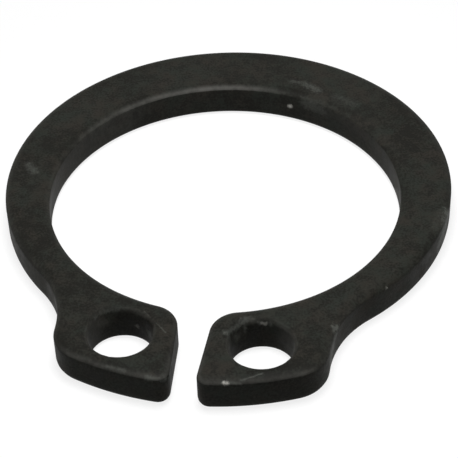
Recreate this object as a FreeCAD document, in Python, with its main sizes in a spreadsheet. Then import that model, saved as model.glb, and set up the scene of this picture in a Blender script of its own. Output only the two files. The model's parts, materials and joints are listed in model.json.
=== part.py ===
import FreeCAD, Part
import math
import os
import Sketcher

# External circlip for a 10 mm shaft: one ring, blanked from spring steel strip and tumbled.
# Z is the bore axis and the origin is on it at mid-thickness. The two lugs point along -Y.
# The ring is a crescent, widest opposite the gap, so that it stays round when it is spread.

# Driving sizes in millimetres.
sizes = {
    "thickness": 0.97,  # nominal 1.00, with a tolerance of 0.06 under it
    "bore_diameter": 9.3,  # relaxed, so that the ring grips the 9.6 floor of its groove
    "back_width": 1.87,  # radial, opposite the gap
    "front_width": 0.73,  # radial, what the crescent would narrow to at the gap
    "lug_height": 2.45,  # radial, from the bore to the end of a lug
    "lug_width": 3.04,  # across one lug, from the mouth of the gap
    "gap_inner": 0.79,  # between the lugs, where their faces leave the inner corners
    "gap_mouth": 0.65,  # between the lugs, where their faces reach the mouth corners
    "inner_corner": 0.74,  # plan radius between the bore and a face of the gap
    "mouth_corner_core": 0.06,  # plan radius left inside the eased edge at a mouth corner
    "lug_corner": 1.0,  # plan radius at the outer side of a lug
    "root_hollow": 2.8,  # plan radius that runs from a lug into the ring
    "hole_diameter": 1.57,  # plier holes
    "hole_from_gap": 1.4,  # from the mouth of the gap to the middle of a hole
    "hole_land": 0.02,  # flat left between a hole's rim and the lug's rounded end
    "top_round": 0.24,  # edge radius of the die-roll side, which is up
    "under_bevel": 0.13,  # broken edge of the burr side
    "rim_round": 0.14,  # the same on the rims of the plier holes: rounded above, broken below
    "rim_bevel": 0.1,
}

# Places that follow from them, as expressions on the sheet.
bore_radius = "sizes.bore_diameter / 2"
outer_radius = "(sizes.bore_diameter + sizes.back_width + sizes.front_width) / 2"
outer_offset = "(sizes.back_width - sizes.front_width) / 2"
lug_radius = "sizes.bore_diameter / 2 + sizes.lug_height"
lug_corner_x = "sizes.gap_mouth / 2 + sizes.lug_width - sizes.lug_corner"
hole_x = "sizes.gap_mouth / 2 + sizes.hole_from_gap"

# The thinnest wall round a plier hole: to the bore and the lug's end, to the gap, or to the lug's side.
lug_wall = "(sizes.lug_height - sizes.hole_diameter) / 2"
gap_wall = "sizes.hole_from_gap - sizes.hole_diameter / 2 - (sizes.gap_inner - sizes.gap_mouth) / 2"
side_wall = "sizes.lug_width - sizes.hole_from_gap - sizes.hole_diameter / 2"
hole_wall = f"min({lug_wall}; {gap_wall}; {side_wall})"

# An edge is eased by its own size, or by what that wall has room for beside the hole's rim.
top_edge = f"min(sizes.top_round; {hole_wall} - sizes.rim_round - sizes.hole_land)"
under_edge = f"min(sizes.under_bevel; {hole_wall} - sizes.rim_bevel - sizes.hole_land)"
mouth_corner = f"max({top_edge}; {under_edge}) + sizes.mouth_corner_core"
eased_band = f"max({top_edge} + sizes.rim_round; {under_edge} + sizes.rim_bevel)"
hole_reach = f"{lug_radius} - {eased_band} - sizes.hole_land - sizes.hole_diameter / 2"

# How a sketch numbers the points of a curve, its own origin and its Y axis.
START, END, CENTRE = 1, 2, 3
ORIGIN = (-1, 1)
Y_AXIS = -2
UP = FreeCAD.Vector(0, 0, 1)
LEVEL_TOLERANCE = 1e-6
VOLUME_TOLERANCE = 0.01


def make_sheet(doc):
    """The driving sizes, one to a row: its name in column A and its number in column B."""
    sheet = doc.addObject("Spreadsheet::Sheet", "sizes")
    for row, (alias, number) in enumerate(sizes.items(), start=1):
        sheet.set(f"A{row}", alias)
        sheet.set(f"B{row}", str(number))
        sheet.setAlias(f"B{row}", alias)
    doc.recompute()


def make_sketch(body, name):
    """A sketch on the body's own XY plane, which is the ring's mid-thickness."""
    sketch = body.newObject("Sketcher::SketchObject", name)
    plane = next(item for item in body.Origin.OriginFeatures if item.Role == "XY_Plane")
    sketch.AttachmentSupport = (plane, [""])
    sketch.MapMode = "FlatFace"
    return sketch


def value(item, expression):
    """What an expression on the sheet comes to."""
    return float(item.evalExpression(expression))


def drive(sketch, name, expression, kind, *where):
    """A dimension whose value the sheet gives."""
    index = sketch.addConstraint(Sketcher.Constraint(kind, *where, value(sketch, expression)))
    sketch.renameConstraint(index, name)
    sketch.setExpression(f"Constraints.{name}", expression)


def drive_x(sketch, name, expression, side, point):
    """The distance of a point from the Y axis, on the right (side 1) or on the left (side -1)."""
    ends = (*ORIGIN, *point) if side > 0 else (*point, *ORIGIN)
    drive(sketch, name, expression, "DistanceX", *ends)


def join(sketch, first, second):
    """Two neighbours meet at their nearest ends and run into each other without a kink."""
    pairs = [(a, b) for a in (START, END) for b in (START, END)]
    a, b = min(pairs, key=lambda pair: (sketch.getPoint(first, pair[0])
                                        - sketch.getPoint(second, pair[1])).Length)
    sketch.addConstraint(Sketcher.Constraint("Tangent", first, a, second, b))


def towards(start, end, distance):
    return start + (end - start).normalize() * distance


def on_lug_side(x, reach):
    """The point at this x and this distance from the bore axis, among the lugs."""
    return FreeCAD.Vector(x, -math.sqrt(reach**2 - x**2), 0)


def centre_between(near, near_reach, far, far_reach, side):
    """The point at given distances from two others, outwards on the given side."""
    line = far - near
    span = line.Length
    along = (near_reach**2 - far_reach**2 + span**2) / (2 * span)
    across = FreeCAD.Vector(-line.y, line.x, 0).normalize() * math.sqrt(near_reach**2 - along**2)
    if across.x * side < 0:
        across = across * -1
    return near + line * (along / span) + across


def add_arc(sketch, centre, radius, start, end):
    """An arc that runs anticlockwise from start to end."""
    angles = [math.atan2(point.y - centre.y, point.x - centre.x) for point in (start, end)]
    return sketch.addGeometry(Part.ArcOfCircle(Part.Circle(centre, UP, radius), *angles), False)


def add_side(sketch, side):
    """One lug's half of the outline. Returns its curves from the bore to the ring, and their ends."""
    bore = value(sketch, bore_radius)
    outer = value(sketch, outer_radius)
    lug = value(sketch, lug_radius)
    inner_r = value(sketch, "sizes.inner_corner")
    mouth_r = value(sketch, mouth_corner)
    corner_r = value(sketch, "sizes.lug_corner")
    root_r = value(sketch, "sizes.root_hollow")
    axis = FreeCAD.Vector()
    outer_centre = FreeCAD.Vector(0, value(sketch, outer_offset), 0)

    # Centres of the plan radii, from the bore round the lug to the ring.
    inner_x = value(sketch, "sizes.gap_inner / 2") + inner_r
    mouth_x = value(sketch, "sizes.gap_mouth / 2") + mouth_r
    inner = on_lug_side(side * inner_x, bore + inner_r)
    mouth = on_lug_side(side * mouth_x, lug - mouth_r)
    corner = on_lug_side(side * value(sketch, lug_corner_x), lug - corner_r)
    root = centre_between(corner, corner_r + root_r, outer_centre, outer + root_r, side)

    # Where the curves meet.
    bore_end = towards(axis, inner, bore)
    face_in = inner - FreeCAD.Vector(side * inner_r, 0, 0)
    face_out = mouth - FreeCAD.Vector(side * mouth_r, 0, 0)
    lug_in = towards(axis, mouth, lug)
    lug_out = towards(axis, corner, lug)
    corner_end = towards(corner, root, corner_r)
    ring_end = towards(outer_centre, root, outer)

    def arc(centre, radius, start, end):
        ends = (start, end) if side > 0 else (end, start)
        return add_arc(sketch, centre, radius, *ends)

    inner_arc = arc(inner, inner_r, bore_end, face_in)
    face = sketch.addGeometry(Part.LineSegment(face_in, face_out), False)
    mouth_arc = arc(mouth, mouth_r, face_out, lug_in)
    lug_end = arc(axis, lug, lug_in, lug_out)
    corner_arc = arc(corner, corner_r, lug_out, corner_end)
    root_arc = arc(root, root_r, ring_end, corner_end)
    return [inner_arc, face, mouth_arc, lug_end, corner_arc, root_arc], bore_end, ring_end


def outline_sketch(body):
    """The blanked outline: twelve arcs and the two faces of the gap, all tangent end to end."""
    sketch = make_sketch(body, "outline")
    right, right_bore, right_ring = add_side(sketch, 1)
    left, left_bore, left_ring = add_side(sketch, -1)
    axis = FreeCAD.Vector()
    outer_centre = FreeCAD.Vector(0, value(sketch, outer_offset), 0)
    bore = add_arc(sketch, axis, value(sketch, bore_radius), right_bore, left_bore)
    ring = add_arc(sketch, outer_centre, value(sketch, outer_radius), right_ring, left_ring)

    loop = [bore, *right, ring, *reversed(left)]
    for first, second in zip(loop, loop[1:] + loop[:1]):
        join(sketch, first, second)

    sketch.addConstraint(Sketcher.Constraint("Coincident", bore, CENTRE, *ORIGIN))
    sketch.addConstraint(Sketcher.Constraint("PointOnObject", ring, CENTRE, Y_AXIS))
    drive(sketch, "bore", "sizes.bore_diameter", "Diameter", bore)
    drive(sketch, "ring", outer_radius, "Radius", ring)
    drive(sketch, "ring_offset", outer_offset, "DistanceY", *ORIGIN, ring, CENTRE)

    for side, name, curves in ((1, "right", right), (-1, "left", left)):
        inner_arc, face, mouth_arc, lug_end, corner_arc, root_arc = curves
        drive(sketch, f"{name}_inner_corner", "sizes.inner_corner", "Radius", inner_arc)
        drive(sketch, f"{name}_mouth_corner", mouth_corner, "Radius", mouth_arc)
        drive(sketch, f"{name}_lug_corner", "sizes.lug_corner", "Radius", corner_arc)
        drive(sketch, f"{name}_root_hollow", "sizes.root_hollow", "Radius", root_arc)
        drive_x(sketch, f"{name}_gap_inner", "sizes.gap_inner / 2", side, (face, START))
        drive_x(sketch, f"{name}_gap_mouth", "sizes.gap_mouth / 2", side, (face, END))
        sketch.addConstraint(Sketcher.Constraint("Coincident", lug_end, CENTRE, *ORIGIN))
        drive(sketch, f"{name}_lug_end", lug_radius, "Radius", lug_end)
        drive_x(sketch, f"{name}_lug_side", lug_corner_x, side, (corner_arc, CENTRE))
    return sketch


def plier_hole_sketch(body):
    """A round hole in each lug for the tips of circlip pliers."""
    sketch = make_sketch(body, "plier_holes")
    x = value(sketch, hole_x)
    reach = value(sketch, hole_reach)
    radius = value(sketch, "sizes.hole_diameter / 2")
    for side, name in ((1, "right"), (-1, "left")):
        hole = sketch.addGeometry(Part.Circle(on_lug_side(side * x, reach), UP, radius), False)
        drive(sketch, f"{name}_diameter", "sizes.hole_diameter", "Diameter", hole)
        drive_x(sketch, f"{name}_across", hole_x, side, (hole, CENTRE))
        drive(sketch, f"{name}_reach", hole_reach, "Distance", *ORIGIN, hole, CENTRE)
    return sketch


def flat_edges(shape, height, circles):
    """Names of the edges at this height: the whole circles of the holes, or all the others."""
    names = []
    for number, edge in enumerate(shape.Edges, start=1):
        box = edge.BoundBox
        level = max(abs(box.ZMin - height), abs(box.ZMax - height)) < LEVEL_TOLERANCE
        if level and edge.isClosed() == circles:
            names.append(f"Edge{number}")
    return names


def ease_edges(doc, body, name, kind, amount, circles):
    """Round the edges of the top, or bevel those of the underside: the outline or the hole rims."""
    side, driven = {"Fillet": (1, "Radius"), "Chamfer": (-1, "Size")}[kind]
    base = body.Tip
    height = side * value(body, "sizes.thickness / 2")
    feature = body.newObject(f"PartDesign::{kind}", name)
    feature.Base = (base, flat_edges(base.Shape, height, circles))
    feature.setExpression(driven, amount)
    doc.recompute()


def make_circlip(doc):
    body = doc.addObject("PartDesign::Body", "circlip")
    body.Label = "circlip"

    outline = outline_sketch(body)
    doc.recompute()
    blank = body.newObject("PartDesign::Pad", "blank")
    blank.Profile = outline
    blank.SideType = "Symmetric"
    blank.setExpression("Length", "sizes.thickness")
    outline.Visibility = False
    doc.recompute()

    holes = plier_hole_sketch(body)
    doc.recompute()
    punched = body.newObject("PartDesign::Pocket", "punched_holes")
    punched.Profile = holes
    punched.SideType = "Symmetric"
    punched.Type = "ThroughAll"
    holes.Visibility = False
    doc.recompute()

    # The punch has to go right through both lugs.
    area = math.pi * value(body, "sizes.hole_diameter / 2") ** 2
    expected = 2 * area * value(body, "sizes.thickness")
    removed = blank.Shape.Volume - punched.Shape.Volume
    if abs(removed - expected) > VOLUME_TOLERANCE * expected:
        raise RuntimeError(f"the plier holes removed {removed:.3f} mm3, not {expected:.3f}")

    ease_edges(doc, body, "top_edges", "Fillet", top_edge, False)
    ease_edges(doc, body, "top_rims", "Fillet", "sizes.rim_round", True)
    ease_edges(doc, body, "under_edges", "Chamfer", under_edge, False)
    ease_edges(doc, body, "under_rims", "Chamfer", "sizes.rim_bevel", True)
    return body


def check(doc, body):
    """Nothing failed quietly, and the ring is one sound solid."""
    for item in doc.Objects:
        if "Invalid" in item.State or "Error" in item.State:
            raise RuntimeError(f"{item.Name} did not compute: {item.State}")
    for item in body.Group:
        if item.isDerivedFrom("Sketcher::SketchObject") and item.solve() != 0:
            raise RuntimeError(f"sketch {item.Name} has no solution")
    shape = body.Shape
    if shape.isNull() or not shape.isValid() or len(shape.Solids) != 1:
        raise RuntimeError("the circlip isn't one valid solid")


doc = FreeCAD.newDocument("circlip")
make_sheet(doc)
circlip = make_circlip(doc)
doc.recompute()
check(doc, circlip)

os.makedirs("parts", exist_ok=True)
circlip.Shape.exportStep(f"parts/{circlip.Label}.step")
box = circlip.Shape.optimalBoundingBox()
print(f"{circlip.Label}: {box.XLength:.2f} x {box.YLength:.2f} x {box.ZLength:.2f} mm,"
      f" {circlip.Shape.Volume:.2f} mm3, {len(circlip.Shape.Faces)} faces")
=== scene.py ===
import json
import math

import bmesh
import bpy
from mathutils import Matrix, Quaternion, Vector, noise


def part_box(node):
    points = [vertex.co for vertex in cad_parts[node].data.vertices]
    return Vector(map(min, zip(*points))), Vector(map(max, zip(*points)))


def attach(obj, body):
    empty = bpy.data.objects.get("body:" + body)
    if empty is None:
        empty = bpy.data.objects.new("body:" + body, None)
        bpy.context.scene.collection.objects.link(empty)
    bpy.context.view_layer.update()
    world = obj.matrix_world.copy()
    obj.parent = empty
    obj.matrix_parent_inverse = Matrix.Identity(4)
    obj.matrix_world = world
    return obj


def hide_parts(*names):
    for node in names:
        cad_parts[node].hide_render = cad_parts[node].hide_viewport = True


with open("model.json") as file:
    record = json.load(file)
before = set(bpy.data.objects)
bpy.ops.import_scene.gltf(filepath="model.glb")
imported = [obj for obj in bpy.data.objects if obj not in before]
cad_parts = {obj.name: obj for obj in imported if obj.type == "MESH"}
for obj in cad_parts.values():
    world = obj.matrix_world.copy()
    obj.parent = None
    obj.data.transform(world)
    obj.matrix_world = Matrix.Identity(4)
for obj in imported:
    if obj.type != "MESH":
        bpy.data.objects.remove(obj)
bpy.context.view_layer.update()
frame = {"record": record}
mm = 0.001  # the ring is modelled in millimetres and then brought to metres
print("frame loaded")


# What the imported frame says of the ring, in millimetres
lowCorner, highCorner = (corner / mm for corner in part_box("circlip"))
mounts = {mount["name"]: mount for mount in frame["record"]["mounts"]}
boreRadius = mounts["shaft_seat"]["dims"]["r_mm"]
holeRadius = mounts["plier_hole_right"]["dims"]["r_mm"]
holeCentre = Vector(mounts["plier_hole_right"]["pos_m"]) / mm
holeCentre.z = 0
boreAxis = Vector((0, 0, 0))

# The ring's own sizes, in millimetres
ring = dict(
    backWidth=1.87,  # radial, opposite the gap
    frontWidth=0.73,  # radial, what the crescent would narrow to at the gap
    lugHeight=2.45,  # from the bore to the end of a lug
    lugWidth=3.04,  # across one lug, from the mouth of the gap
    gapInner=0.79,
    gapMouth=0.65,
    gapRounds=4,  # times that the lean of the gap's face is worked out afresh
    innerCorner=0.74,  # plan radii, from the bore round a lug to the ring
    mouthCorner=0.30,
    lugCorner=1.0,
    rootHollow=2.8,
    rollWidth=0.24,  # the die roll: the top bends down over this width, by this depth, and ends in a crease
    rollDepth=0.12,
    rimWidth=0.14,  # the same at the rims of the plier holes
    rollSlope=0.50,  # share of a roll's width that its straight slope would take, without the bend before it
    rimSlope=0.64,
    crease=0.035,  # edge radius left on the crease
    rimCrease=0.05,
    underRound=0.20,  # broken edges of the burr side
    underRimRound=0.14,
    bendRows=5,  # rows of faces over a bend or a broken edge, over a crease and up a wall
    creaseRows=3,
    wallRows=5,
    step=0.075,  # length of a mesh edge along the outline
    leastSteps=3,  # mesh edges on the shortest arc
    capBand=0.004,  # narrow flat band that keeps the shading of a rounded edge off the flat face
    weld=0.0005,
    reach=0.01,  # how far above and below a height its edges are looked for
    bendReach=0.03,  # how far below the top the bends' own edges may lie
    leastTurn=0.25,  # radians by which the surface turns at an edge that is bevelled
    flat=0.999,  # how far upwards or downwards the normal of a flat face points
    tearDepth=0.06,  # the punch left the rims of the plier holes a little ragged
    tearSize=0.16,
    chips=[  # where a rim is broken further: x, y, reach, depth, and the share of it that also goes outwards
        (1.05, -5.15, 0.36, 0.16, 1.0),
        (1.76, -4.87, 0.20, 0.05, 1.0),
        (1.60, -4.87, 0.50, 0.05, 0.0),
        (-2.28, -5.12, 0.42, 0.12, 1.0),
        (-1.75, -4.87, 0.65, 0.11, 0.0),
        (-1.06, -5.25, 0.20, 0.05, 1.0),
    ],
)
outerRadius = boreRadius + (ring["backWidth"] + ring["frontWidth"]) / 2
outerCentre = Vector((0, (ring["backWidth"] - ring["frontWidth"]) / 2, 0))
lugRadius = boreRadius + ring["lugHeight"]


def bearing(centre, point):
    return math.atan2(point.y - centre.y, point.x - centre.x)


def onLug(x, reach):  # the point at this x and this distance from the bore axis, among the lugs
    return Vector((x, -math.sqrt(reach**2 - x**2), 0))


def centreBetween(near, nearReach, far, farReach):
    # the point at given distances from two others, to the right of them
    line = far - near
    along = (nearReach**2 - farReach**2 + line.length_squared) / (2 * line.length)
    across = Vector((-line.y, line.x, 0)).normalized() * math.sqrt(nearReach**2 - along**2)
    return near + line.normalized() * along + (across if across.x > 0 else -across)


def sweepArc(mesh, vert, centre, target, turn):
    # carries a vertex round a centre, up to the ray through the target; turn 1 is anticlockwise
    angle = (bearing(centre, target) - bearing(centre, vert.co)) % (2 * math.pi)
    if turn < 0:
        angle -= 2 * math.pi
    radius = math.hypot(vert.co.x - centre.x, vert.co.y - centre.y)
    steps = max(ring["leastSteps"], round(abs(angle) * radius / ring["step"]))
    swept = bmesh.ops.spin(mesh, geom=[vert], cent=centre, axis=(0, 0, 1), angle=angle, steps=steps)
    return next(item for item in swept["geom_last"] if isinstance(item, bmesh.types.BMVert))


def drawLine(mesh, vert, target):
    vert = bmesh.ops.extrude_vert_indiv(mesh, verts=[vert])["verts"][0]
    vert.co = target
    return vert


def plateFace(mesh, start, stops):
    # walks an outline of arcs and lines from a start point back to it, and fills it
    earlier = set(mesh.verts) | set(mesh.edges)
    vert = bmesh.ops.create_vert(mesh, co=start)["vert"][0]
    for centre, target, turn in stops:
        vert = sweepArc(mesh, vert, centre, target, turn) if turn else drawLine(mesh, vert, target)
    ends = [end for end in mesh.verts if end not in earlier]
    bmesh.ops.remove_doubles(mesh, verts=ends, dist=ring["weld"])
    bmesh.ops.contextual_create(mesh, geom=[edge for edge in mesh.edges if edge not in earlier])


def plateHalf(mesh):
    # the right half of the blank, as two faces that meet on the line from the bore axis through the hole
    innerR, mouthR, cornerR, rootR = (
        ring[name] for name in ("innerCorner", "mouthCorner", "lugCorner", "rootHollow"))
    lean = 0.0
    for _ in range(ring["gapRounds"]):  # the gap's face leans, which moves the centres that it touches
        toFace = Vector((-math.cos(lean), math.sin(lean), 0))
        inner = onLug(ring["gapInner"] / 2 - innerR * toFace.x, boreRadius + innerR)
        mouth = onLug(ring["gapMouth"] / 2 - mouthR * toFace.x, lugRadius - mouthR)
        face = (inner + innerR * toFace) - (mouth + mouthR * toFace)
        lean = math.atan2(face.x, face.y)
    corner = onLug(ring["gapMouth"] / 2 + ring["lugWidth"] - cornerR, lugRadius - cornerR)
    root = centreBetween(corner, cornerR + rootR, outerCentre, outerRadius + rootR)

    outward = holeCentre.normalized()
    holeFar, holeNear = holeCentre + outward * holeRadius, holeCentre - outward * holeRadius
    boreCut = outward * boreRadius
    back = Vector((0, outerCentre.y + outerRadius, 0))
    plateFace(mesh, back, [
        (outerCentre, root, -1),
        (root, corner, 1),
        (corner, corner * 2, -1),
        (boreAxis, holeCentre, -1),
        (None, holeFar, 0),
        (holeCentre, holeNear, 1),
        (None, boreCut, 0),
        (boreAxis, back, 1),
        (None, back, 0),
    ])
    plateFace(mesh, boreCut, [
        (boreAxis, inner, -1),
        (inner, inner + toFace, 1),
        (None, mouth + mouthR * toFace, 0),
        (mouth, mouth * 2, 1),
        (boreAxis, holeCentre, 1),
        (None, holeFar, 0),
        (holeCentre, holeNear, -1),
        (None, boreCut, 0),
    ])


def nearHole(point, spare=ring["weld"]):
    reach = Vector((abs(point.x), point.y, 0)) - holeCentre
    return reach.length < holeRadius + ring["rimWidth"] + spare


def middleOf(edge):
    return (edge.verts[0].co + edge.verts[1].co) / 2


def sharpEdges(mesh, least, most, rims):
    # level edges between these heights that turn a corner: the rims of the holes, or all the others
    found = []
    for edge in mesh.edges:
        level = abs(edge.verts[0].co.z - edge.verts[1].co.z) < ring["weld"]
        if level and least < middleOf(edge).z < most and edge.calc_face_angle(0) > ring["leastTurn"] and (
                nearHole(middleOf(edge)) == rims):
            found.append(edge)
    return found


def sharpEdgesAt(mesh, height, rims):
    return sharpEdges(mesh, height - ring["reach"], height + ring["reach"], rims)


def bevelEdges(mesh, edges, radius, segments):
    bmesh.ops.bevel(
        mesh, geom=edges, offset=radius, offset_type="OFFSET", segments=segments, profile=0.5,
        affect="EDGES", material=-1, clamp_overlap=False, loop_slide=True)


def rollTop(mesh):
    # a chamfer cut while the ring is stretched upwards comes out flatter than 45 degrees
    top = highCorner.z
    stretch = ring["rollWidth"] * ring["rollSlope"] / ring["rollDepth"]
    rolls = (
        (False, ring["rollWidth"], ring["rollSlope"], ring["crease"]),
        (True, ring["rimWidth"], ring["rimSlope"], ring["rimCrease"]),
    )
    bmesh.ops.scale(mesh, verts=mesh.verts[:], vec=(1, 1, stretch))
    for rims, width, slope, _ in rolls:
        bevelEdges(mesh, sharpEdgesAt(mesh, top * stretch, rims), width * slope, 1)
    bmesh.ops.scale(mesh, verts=mesh.verts[:], vec=(1, 1, 1 / stretch))
    for rims, width, slope, crease in rolls:
        bevelEdges(mesh, sharpEdgesAt(mesh, top, rims), width * (1 - slope), ring["bendRows"])
        bevelEdges(mesh, sharpEdges(mesh, 0, top - ring["bendReach"], rims), crease, ring["creaseRows"])


def tearRims(mesh):
    # presses the creases of the holes down a little by noise, and breaks them down and outwards at the chips
    top, crease = highCorner.z, highCorner.z - ring["rollDepth"]
    for vert in mesh.verts:
        if vert.co.z <= 0 or not nearHole(vert.co, ring["capBand"] * 2):
            continue
        share = max(0, min((top - vert.co.z) / ring["rollDepth"], vert.co.z / crease))  # 1 at the crease
        down = max(0, noise.noise(vert.co.xy.to_3d() / ring["tearSize"])) * ring["tearDepth"]
        outwards = 0
        for x, y, reach, depth, outwardShare in ring["chips"]:
            chipped = depth * max(0, 1 - ((vert.co.xy - Vector((x, y))).length / reach) ** 2)
            down += chipped
            outwards += chipped * outwardShare
        away = vert.co - Vector((math.copysign(holeCentre.x, vert.co.x), holeCentre.y, vert.co.z))
        vert.co += away.normalized() * outwards * vert.co.z / top - Vector((0, 0, down * share))


def settleOrder(items, place):  # the operators' own order differs from run to run
    rank = {item: number for number, item in enumerate(sorted(items, key=place))}
    items.sort(key=rank.get)


def makeRing():
    mesh = bmesh.new()
    plateHalf(mesh)
    bmesh.ops.remove_doubles(mesh, verts=mesh.verts[:], dist=ring["weld"])
    half = mesh.verts[:] + mesh.edges[:] + mesh.faces[:]
    bmesh.ops.mirror(mesh, geom=half, axis="X", merge_dist=ring["weld"])
    bmesh.ops.translate(mesh, verts=mesh.verts[:], vec=(0, 0, lowCorner.z))
    pulled = bmesh.ops.extrude_face_region(mesh, geom=mesh.faces[:], use_keep_orig=True)["geom"]
    raised = [item for item in pulled if isinstance(item, bmesh.types.BMVert)]
    bmesh.ops.translate(mesh, verts=raised, vec=(0, 0, highCorner.z - lowCorner.z))
    bmesh.ops.recalc_face_normals(mesh, faces=mesh.faces[:])
    rollTop(mesh)
    for rims, radius in ((False, ring["underRound"]), (True, ring["underRimRound"])):
        bevelEdges(mesh, sharpEdgesAt(mesh, lowCorner.z, rims), radius, ring["bendRows"])

    upright = [edge for edge in mesh.edges if (edge.verts[0].co - edge.verts[1].co).xy.length < ring["weld"]]
    bmesh.ops.subdivide_edges(mesh, edges=upright, cuts=ring["wallRows"] - 1, use_grid_fill=True)
    caps = [face for face in mesh.faces if abs(face.normal.z) > ring["flat"]]
    bmesh.ops.inset_region(
        mesh, faces=caps, thickness=ring["capBand"], use_boundary=True, use_even_offset=True)
    bmesh.ops.triangulate(mesh, faces=[face for face in mesh.faces if len(face.verts) > 4])
    tearRims(mesh)
    bmesh.ops.scale(mesh, verts=mesh.verts[:], vec=(mm, mm, mm))
    settleOrder(mesh.verts, lambda vert: vert.co[:])
    settleOrder(mesh.faces, lambda face: face.calc_center_median()[:])

    data = bpy.data.meshes.new("circlip_body")
    mesh.to_mesh(data)
    mesh.free()
    data.shade_smooth()
    piece = bpy.data.objects.new("circlip_body", data)
    bpy.context.scene.collection.objects.link(piece)
    return piece


class Wire:  # a socket in a material, on which Python's own operators add Math nodes
    def __init__(self, tree, socket=None):
        self.tree = tree
        self.socket = socket

    def node(self, kind, settings=None, sockets=None, output=0):
        made = self.tree.nodes.new(kind)
        for name, value in (settings or {}).items():
            setattr(made, name, value)
        for name, value in (sockets or {}).items():
            if isinstance(value, Wire):
                self.tree.links.new(value.socket, made.inputs[name])
            else:
                made.inputs[name].default_value = value
        return Wire(self.tree, made.outputs[output])

    def maths(self, operation, first, second):
        return self.node("ShaderNodeMath", {"operation": operation}, {0: first, 1: second})

    def __add__(self, other):
        return self.maths("ADD", self, other)

    def __sub__(self, other):
        return self.maths("SUBTRACT", self, other)

    def __rsub__(self, other):
        return self.maths("SUBTRACT", other, self)

    def __mul__(self, other):
        return self.maths("MULTIPLY", self, other)

    __radd__ = __add__
    __rmul__ = __mul__

    def larger(self, other):
        return self.maths("MAXIMUM", self, other)

    def ramp(self, start, full):  # 0 up to start, 1 from full on, smooth between; either may be larger
        return self.node(
            "ShaderNodeMapRange", {"interpolation_type": "SMOOTHSTEP"},
            {"Value": self, "From Min": start, "From Max": full})

    def between(self, low, high):  # a number between two, by this value
        return self * (high - low) + low

    def blend(self, low, high):  # a colour between two, by this value
        low, high = ((*end, 1) if isinstance(end, tuple) else end for end in (low, high))
        return self.node("ShaderNodeMix", {"data_type": "RGBA"}, {0: self, 6: low, 7: high}, output=2)

    def shifted(self, way):
        return self.node("ShaderNodeVectorMath", {"operation": "ADD"}, {0: self, 1: (way, way, way)})

    def noise(self, size, detail, roughness):  # on coordinates in millimetres
        return self.node(
            "ShaderNodeTexNoise", None,
            {"Vector": self, "Scale": 1 / size, "Detail": detail, "Roughness": roughness})


def strongest(*wires):
    most = wires[0]
    for wire in wires[1:]:
        most = most.larger(wire)
    return most


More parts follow.
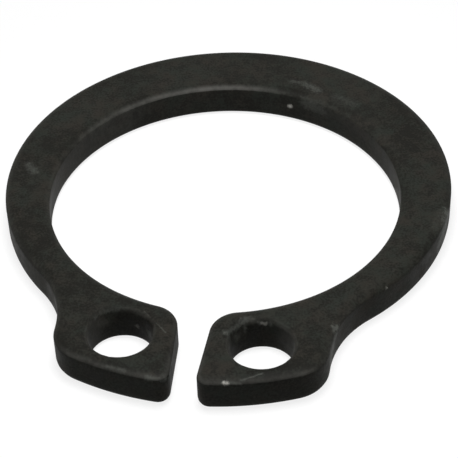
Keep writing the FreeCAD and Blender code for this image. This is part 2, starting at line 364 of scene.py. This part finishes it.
# The black phosphate coat, with painted highlights and painted light in its pale parts; lengths in
# millimetres, colours linear
coat = dict(
    dark=(0.0095, 0.0092, 0.0074),
    brown=(0.0262, 0.0239, 0.0196),
    green=(0.0213, 0.0243, 0.0200),
    rubbed=(0.102, 0.100, 0.092),  # where tumbling has thinned the coat, together with painted highlights on the edges and painted light on the walls
    bare=(0.50, 0.49, 0.45),  # the steel in the nicks
    pale=(0.120, 0.126, 0.113),  # the streaks, most of them painted highlights
    roughness=(0.52, 0.66),
    specular=0.05,
    bumpHeight=0.0020,

    patterns=dict(  # noise: size, detail, roughness, and the values that become 0 and 1
        grain=(0.06, 2, 0.5, 0.30, 0.70),
        patch=(0.28, 3, 0.6, 0.32, 0.68),
        cloud=(1.7, 2, 0.5, 0.30, 0.70),
        hue=(0.672, 4, 0.65, 0.34, 0.66),
    ),
    hueShift=7.0,  # keeps the hue's pattern apart from the others
    toneShares=dict(grain=0.38, patch=0.36, cloud=0.26),
    toneEnds=(0.18, 0.82),
    fray=(0.10, 4, 0.7),  # the ragged outline of the marks: size, detail and roughness of its noise
    frayDepth=3.0,  # how far that noise moves the outline, in half widths of a mark
    markFade=1.5,  # half widths from a mark's line at which it has gone

    # Zones by a measure of the surface: the values at which a zone starts and at which it is full
    zones=dict(
        bent=("up", 0.985, 0.76),  # the slope of a roll lies between the flat top and the walls
        notUpright=("up", 0.15, 0.50),
        upright=("up", 0.5, 0.2),
        holeUpright=("up", 0.9, 0.3),
        bore=("fromAxis", 5.0, 4.9),
        rim=("fromHole", holeRadius + ring["rimWidth"], holeRadius + ring["rimWidth"] * 0.6),
        back=("y", 0.5, 2.5),
        front=("y", -5.9, -6.5),
        notFront=("y", -6.2, -5.8),
        # Where the painted highlight along the bore's back edge fades out, to the right and to the left
        glowRight=("x", 1.9, -0.9),
        glowLeft=("x", -6.5, -0.6),
        notRight=("x", 4.2, 3.6),
        boreLeft=("x", -2.2, -3.6),
        boreRight=("x", 3.5, 4.2),
        chalkRight=("x", 1.40, 1.80),
        chalkHigh=("z", -0.05, 0.20),
        rightEnd=("frayedX", holeCentre.x + 0.10, holeCentre.x + 0.50),
        leftEnd=("frayedX", -holeCentre.x - 0.42, -holeCentre.x - 0.70),
        nearEnd=("frayedY", holeCentre.y + 0.25, holeCentre.y - 0.05),
    ),
    zoneFray=0.08,  # the same for the frayed measures, in millimetres

    # How much of the pale colour, which is wear and painted light, each place shows; a pair runs from the
    # least to the most
    worn=dict(
        front=0.42,
        elsewhere=0.12,
        rim=0.21,
        wall=0.06,
        boreLeft=0.30,
        boreRight=0.22,
        rightEnd=0.42,
        leftEnd=0.28,
        nearEnd=0.38,
        chalk=(0.12, 0.20),
        chalkLow=(0.5, 1.0),
        chalkBent=(0.2, 1.0),
        uneven=(0.6, 1.0),
        smear=(0.5, 0.8),
    ),

    # Marks that the photograph shows: two points on the surface, a half width and how strong the mark is
    nicks=[
        ((1.20, 4.49, 0.02), (1.24, 4.48, 0.01), 0.065, 1.00),  # in the bore's wall
        ((1.02, -6.98, 0.390), (1.08, -6.97, 0.385), 0.050, 1.00),  # on the right lug's front edge
        ((-1.47, -4.92, -0.01), (-1.44, -4.91, 0.00), 0.060, 0.30),  # in the left hole's far wall
        ((1.63, -4.85, 0.35), (1.72, -4.84, 0.33), 0.045, 0.35),  # on the rim of the right hole
        ((4.50, -3.27, 0.36), (4.53, -3.24, 0.36), 0.030, 0.40),  # at the right root
    ],
    # Most of these streaks are painted highlights on edges and rims; the rest are rubbed patches and a
    # scratch
    smears=[
        ((1.20, 5.07, 0.485), (1.60, 4.97, 0.485), 0.10, 0.35),  # beside the bore, at the back
        ((1.60, 4.96, 0.485), (2.00, 4.70, 0.485), 0.13, 0.52),
        ((2.56, 4.44, 0.485), (3.05, 4.14, 0.485), 0.17, 0.20),
        ((1.66, 4.34, 0.24), (2.14, 4.13, 0.22), 0.17, 0.50),  # in the bore's wall
        ((5.87, -0.20, 0.36), (5.82, -0.66, 0.26), 0.14, 1.00),  # a painted highlight down the outer edge on the right
        ((5.93, -0.15, 0.15), (5.86, -0.70, 0.05), 0.20, 0.90),
        ((5.82, -0.55, 0.30), (5.74, -0.98, 0.00), 0.20, 0.90),
        ((5.75, -0.30, 0.47), (5.62, -0.95, 0.485), 0.14, 0.15),
        ((3.42, -4.85, 0.39), (3.40, -5.20, 0.15), 0.12, 0.85),  # a painted highlight on the right lug's outer side
        ((3.40, -5.20, 0.15), (3.38, -5.45, -0.20), 0.14, 0.70),
        ((-5.45, 0.45, 0.485), (-5.22, 0.18, 0.485), 0.13, 0.40),  # a painted highlight on the left
        ((-1.83, -6.79, 0.41), (-1.38, -6.88, 0.42), 0.05, 0.55),  # painted highlights along the left lug's front edge
        ((-0.80, -7.01, 0.39), (-0.42, -6.96, 0.33), 0.07, 0.90),
        ((-0.34, -6.40, 0.30), (-0.33, -6.80, 0.25), 0.07, 0.60),
        ((0.97, -6.98, 0.39), (1.40, -6.93, 0.37), 0.04, 0.80),  # painted highlights along the right lug's front edge
        ((1.40, -6.90, 0.44), (1.88, -6.65, 0.48), 0.025, 0.65),
        ((-1.26, -4.89, 0.48), (-0.62, -5.56, 0.485), 0.020, 0.40),  # a scratch beside the left hole
        ((-2.45, -5.12, 0.38), (-2.27, -4.91, 0.38), 0.07, 0.42),  # a painted highlight with some wear on the rim of the left hole
        ((-2.27, -4.91, 0.38), (-1.95, -4.83, 0.40), 0.06, 0.45),
        ((-1.16, -5.13, -0.04), (-1.11, -5.17, 0.03), 0.10, 0.75),  # in its wall
        ((0.82, -5.40, 0.46), (0.96, -5.10, 0.33), 0.08, 0.70),  # a painted highlight with some wear on the rim of the right hole
        ((0.96, -5.10, 0.33), (1.20, -4.91, 0.43), 0.09, 0.80),
        ((1.21, -4.96, 0.33), (1.24, -4.99, 0.19), 0.06, 0.55),
        ((1.20, -4.83, 0.485), (1.42, -4.84, 0.485), 0.06, 0.30),
        ((1.56, -4.88, 0.38), (1.84, -4.86, 0.33), 0.06, 0.55),
    ],
)


def phosphatedSpringSteel():
    material = bpy.data.materials.new("phosphated_spring_steel")
    material.use_nodes = True
    tree = material.node_tree
    shader = tree.nodes["Principled BSDF"]
    start = Wire(tree)

    def vector(operation, first, second=None, output=0):
        sockets = {0: first} if second is None else {0: first, 1: second}
        return start.node("ShaderNodeVectorMath", {"operation": operation}, sockets, output)

    place = start.node("ShaderNodeTexCoord", output="Object")
    spot = start.node("ShaderNodeMapping", None, {"Vector": place, "Scale": (1 / mm,) * 3})
    x, y, z = (start.node("ShaderNodeSeparateXYZ", None, {0: spot}, output=axis) for axis in "XYZ")
    normal = start.node("ShaderNodeTexCoord", output="Normal")
    up = start.node("ShaderNodeSeparateXYZ", None, {0: normal}, output="Z")
    fromAxis = vector("LENGTH", vector("MULTIPLY", spot, (1, 1, 0)), output="Value")
    aside = start.node("ShaderNodeMath", {"operation": "ABSOLUTE"}, {0: x})
    toHole = start.node("ShaderNodeCombineXYZ", None, {"X": aside - holeCentre.x, "Y": y - holeCentre.y})
    fromHole = vector("LENGTH", toHole, output="Value")  # from the nearer plier hole's axis

    def pattern(name, where=spot):
        size, detail, roughness, low, high = coat["patterns"][name]
        return where.noise(size, detail, roughness).ramp(low, high)

    grain, patch, cloud = (pattern(name) for name in ("grain", "patch", "cloud"))
    hue = pattern("hue", spot.shifted(coat["hueShift"]))
    shares = coat["toneShares"]
    tone = grain * shares["grain"] + patch * shares["patch"] + cloud * shares["cloud"]
    ragged = (spot.noise(*coat["fray"]) - 0.5) * coat["frayDepth"]

    measures = dict(
        x=x, y=y, z=z, up=up, fromAxis=fromAxis, fromHole=fromHole,
        frayedX=x + ragged * coat["zoneFray"], frayedY=y + ragged * coat["zoneFray"])
    zone = {name: measures[by].ramp(first, full) for name, (by, first, full) in coat["zones"].items()}
    worn = coat["worn"]
    uneven = patch.between(*worn["uneven"])

    byBore = zone["bore"] * zone["back"]
    # Painted highlights on the rolled edges, with some wear: along the bore's back edge, the lugs' front
    # creases, the hole rims and faintly elsewhere
    edges = strongest(
        byBore * zone["glowRight"] * zone["glowLeft"],  # a painted highlight along the bore's edge at the back and on the left
        zone["front"] * worn["front"],
        zone["notRight"] * worn["elsewhere"],
        zone["rim"] * worn["rim"])
    # Painted light: the bore's wall lighter towards its left and right ends, where it turns to face the
    # sides
    boreSideSheen = strongest(zone["boreLeft"] * worn["boreLeft"], zone["boreRight"] * worn["boreRight"])
    # Painted light: the walls of the plier holes lighter at their ends
    holeEndSheen = strongest(*(zone[name] * worn[name] for name in ("rightEnd", "leftEnd", "nearEnd")))
    # A paler coat on the right of the bore's wall, made as light as the top face as painted light
    paleCoatAndSheen = byBore * zone["chalkRight"] * zone["chalkHigh"].between(*worn["chalkLow"])
    # The pale colour, as painted highlights on the rolled edges and painted light on the walls, with real
    # wear mixed in
    rubbed = strongest(
        zone["bent"] * zone["notUpright"] * uneven * edges,
        # painted light: every wall except the lugs' front faces is a little lighter
        zone["upright"] * zone["notFront"] * worn["wall"],
        zone["upright"] * zone["bore"] * uneven * boreSideSheen,
        zone["holeUpright"] * zone["rim"] * holeEndSheen,
        zone["upright"].between(*worn["chalkBent"]) * patch.between(*worn["chalk"]) * paleCoatAndSheen)

    def near(marks):  # how strong the marks are here, falling to 0 at a ragged edge
        found = []
        for first, last, width, strength in marks:
            line = Vector(last) - Vector(first)
            scaled = line / line.length_squared
            share = vector("DOT_PRODUCT", vector("SUBTRACT", spot, first), scaled, "Value")
            share = share.node("ShaderNodeClamp", None, {"Value": share})
            along = vector("MULTIPLY", share, line)
            away = vector("DISTANCE", spot, vector("ADD", along, first), "Value")
            found.append((away * (1 / width) + ragged).ramp(coat["markFade"], 0) * strength)
        return strongest(*found)

    colour = tone.ramp(*coat["toneEnds"]).blend(coat["dark"], hue.blend(coat["brown"], coat["green"]))
    colour = rubbed.blend(colour, coat["rubbed"])
    # Painted highlights along edges and rims, with a few pale rubbed streaks
    colour = (near(coat["smears"]) * grain.between(*worn["smear"])).blend(colour, coat["pale"])
    colour = near(coat["nicks"]).blend(colour, coat["bare"])
    bump = start.node("ShaderNodeBump", None, {
        "Strength": 1.0, "Distance": coat["bumpHeight"] * mm, "Height": (grain + patch) * 0.5})

    tree.links.new(colour.socket, shader.inputs["Base Color"])
    tree.links.new(patch.between(*coat["roughness"]).socket, shader.inputs["Roughness"])
    tree.links.new(bump.socket, shader.inputs["Normal"])
    shader.inputs["Specular IOR Level"].default_value = coat["specular"]
    return material


studio = dict(
    floorSpread=0.6,  # metres
    floorSides=96,
    floorColour=0.30,  # what the object's shaded sides see of it
    floorShown=0.8,  # how much of its white in the picture is its own, which no shadow takes away
    floorLift=0.03,  # a little more, which takes the lit floor to full white
    worldStrength=0.16,
    lampPlace=(1, -3, 34),  # millimetres, as all places and sizes of the lamps are
    lampSize=11,
    lampRadiance=28.0,
    sidePlace=(40, 10, 20),  # of the right one; the left one is its mirror image
    sideSize=24,
    sideRadiance=0.3,
)


def backgroundSeen(start):  # 1 for what the camera sees directly, in gloss or through glass
    rays = ("Is Camera Ray", "Is Glossy Ray", "Is Transmission Ray")
    return strongest(*(start.node("ShaderNodeLightPath", output=name) for name in rays))


def makeFloor():
    mesh = bmesh.new()
    bmesh.ops.create_circle(mesh, cap_ends=True, segments=studio["floorSides"], radius=studio["floorSpread"])
    bmesh.ops.translate(mesh, verts=mesh.verts[:], vec=(0, 0, lowCorner.z * mm))
    data = bpy.data.meshes.new("floor")
    mesh.to_mesh(data)
    mesh.free()
    floor = bpy.data.objects.new("floor", data)
    bpy.context.scene.collection.objects.link(floor)

    material = bpy.data.materials.new("floor")
    material.use_nodes = True
    tree = material.node_tree
    tree.nodes.clear()
    start = Wire(tree)
    grey, shown = studio["floorColour"], studio["floorShown"]
    strength = shown + studio["floorLift"]
    lit = start.node("ShaderNodeBsdfDiffuse", None, {"Color": (1 - shown, 1 - shown, 1 - shown, 1)})
    glow = start.node("ShaderNodeEmission", None, {"Color": (1, 1, 1, 1), "Strength": strength})
    white = start.node("ShaderNodeAddShader", None, {0: lit, 1: glow})
    plain = start.node("ShaderNodeBsdfDiffuse", None, {"Color": (grey, grey, grey, 1)})
    surface = start.node("ShaderNodeMixShader", None, {0: backgroundSeen(start), 1: plain, 2: white})
    output = tree.nodes.new("ShaderNodeOutputMaterial")
    tree.links.new(surface.socket, output.inputs["Surface"])
    data.materials.append(material)


def makeWorld():
    world = bpy.data.worlds.new("studio")
    world.use_nodes = True
    tree = world.node_tree
    tree.nodes.clear()
    start = Wire(tree)
    strength = backgroundSeen(start).between(studio["worldStrength"], 1)
    background = start.node("ShaderNodeBackground", None, {"Color": (1, 1, 1, 1), "Strength": strength})
    output = tree.nodes.new("ShaderNodeOutputWorld")
    tree.links.new(background.socket, output.inputs["Surface"])
    bpy.context.scene.world = world


def makeLamp(name, place, size, radiance):  # a square softbox that faces the ring
    lamp = bpy.data.lights.new(name, "AREA")
    lamp.shape = "SQUARE"
    lamp.size = size * mm
    lamp.energy = radiance * math.pi * lamp.size**2
    holder = bpy.data.objects.new(name, lamp)
    holder.location = Vector(place) * mm
    holder.rotation_euler = Vector(place).to_track_quat("Z", "Y").to_euler()
    bpy.context.scene.collection.objects.link(holder)


view = dict(
    azimuth=9.664,  # degrees: where the camera stands, how it looks down and how it leans
    elevation=40.462,
    roll=-2.145,
    aim=(0.252, -1.038, 0.0),  # millimetres, as the distance is
    distance=43.92,
    lens=131.7,  # on a sensor of this width
    sensor=36,
    nearest=0.001,  # metres
    farthest=2,
)


def makeCamera():
    turned, raised = math.radians(view["azimuth"]), math.radians(view["elevation"])
    level = math.cos(raised)
    back = Vector((math.sin(turned) * level, -math.cos(turned) * level, math.sin(raised)))
    camera = bpy.data.cameras.new("camera")
    camera.sensor_width = view["sensor"]
    camera.lens = view["lens"]
    camera.clip_start = view["nearest"]
    camera.clip_end = view["farthest"]
    holder = bpy.data.objects.new("camera", camera)
    holder.location = (Vector(view["aim"]) + back * view["distance"]) * mm
    holder.rotation_mode = "QUATERNION"
    holder.rotation_quaternion = (
        (-back).to_track_quat("-Z", "Y") @ Quaternion((0, 0, 1), math.radians(view["roll"])))
    bpy.context.scene.collection.objects.link(holder)
    bpy.context.scene.camera = holder


makeCamera()
print("camera placed")

circlip = makeRing()
circlip.data.materials.append(phosphatedSpringSteel())
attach(circlip, "root")
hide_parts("circlip")
print("circlip:", len(circlip.data.vertices), "vertices,", len(circlip.data.polygons), "faces")

makeFloor()
makeWorld()
makeLamp("top_softbox", studio["lampPlace"], studio["lampSize"], studio["lampRadiance"])
for side in (-1, 1):
    across, along, height = studio["sidePlace"]
    makeLamp("side_softbox", (side * across, along, height), studio["sideSize"], studio["sideRadiance"])
bpy.context.scene.view_settings.view_transform = "Standard"
print("studio lit")
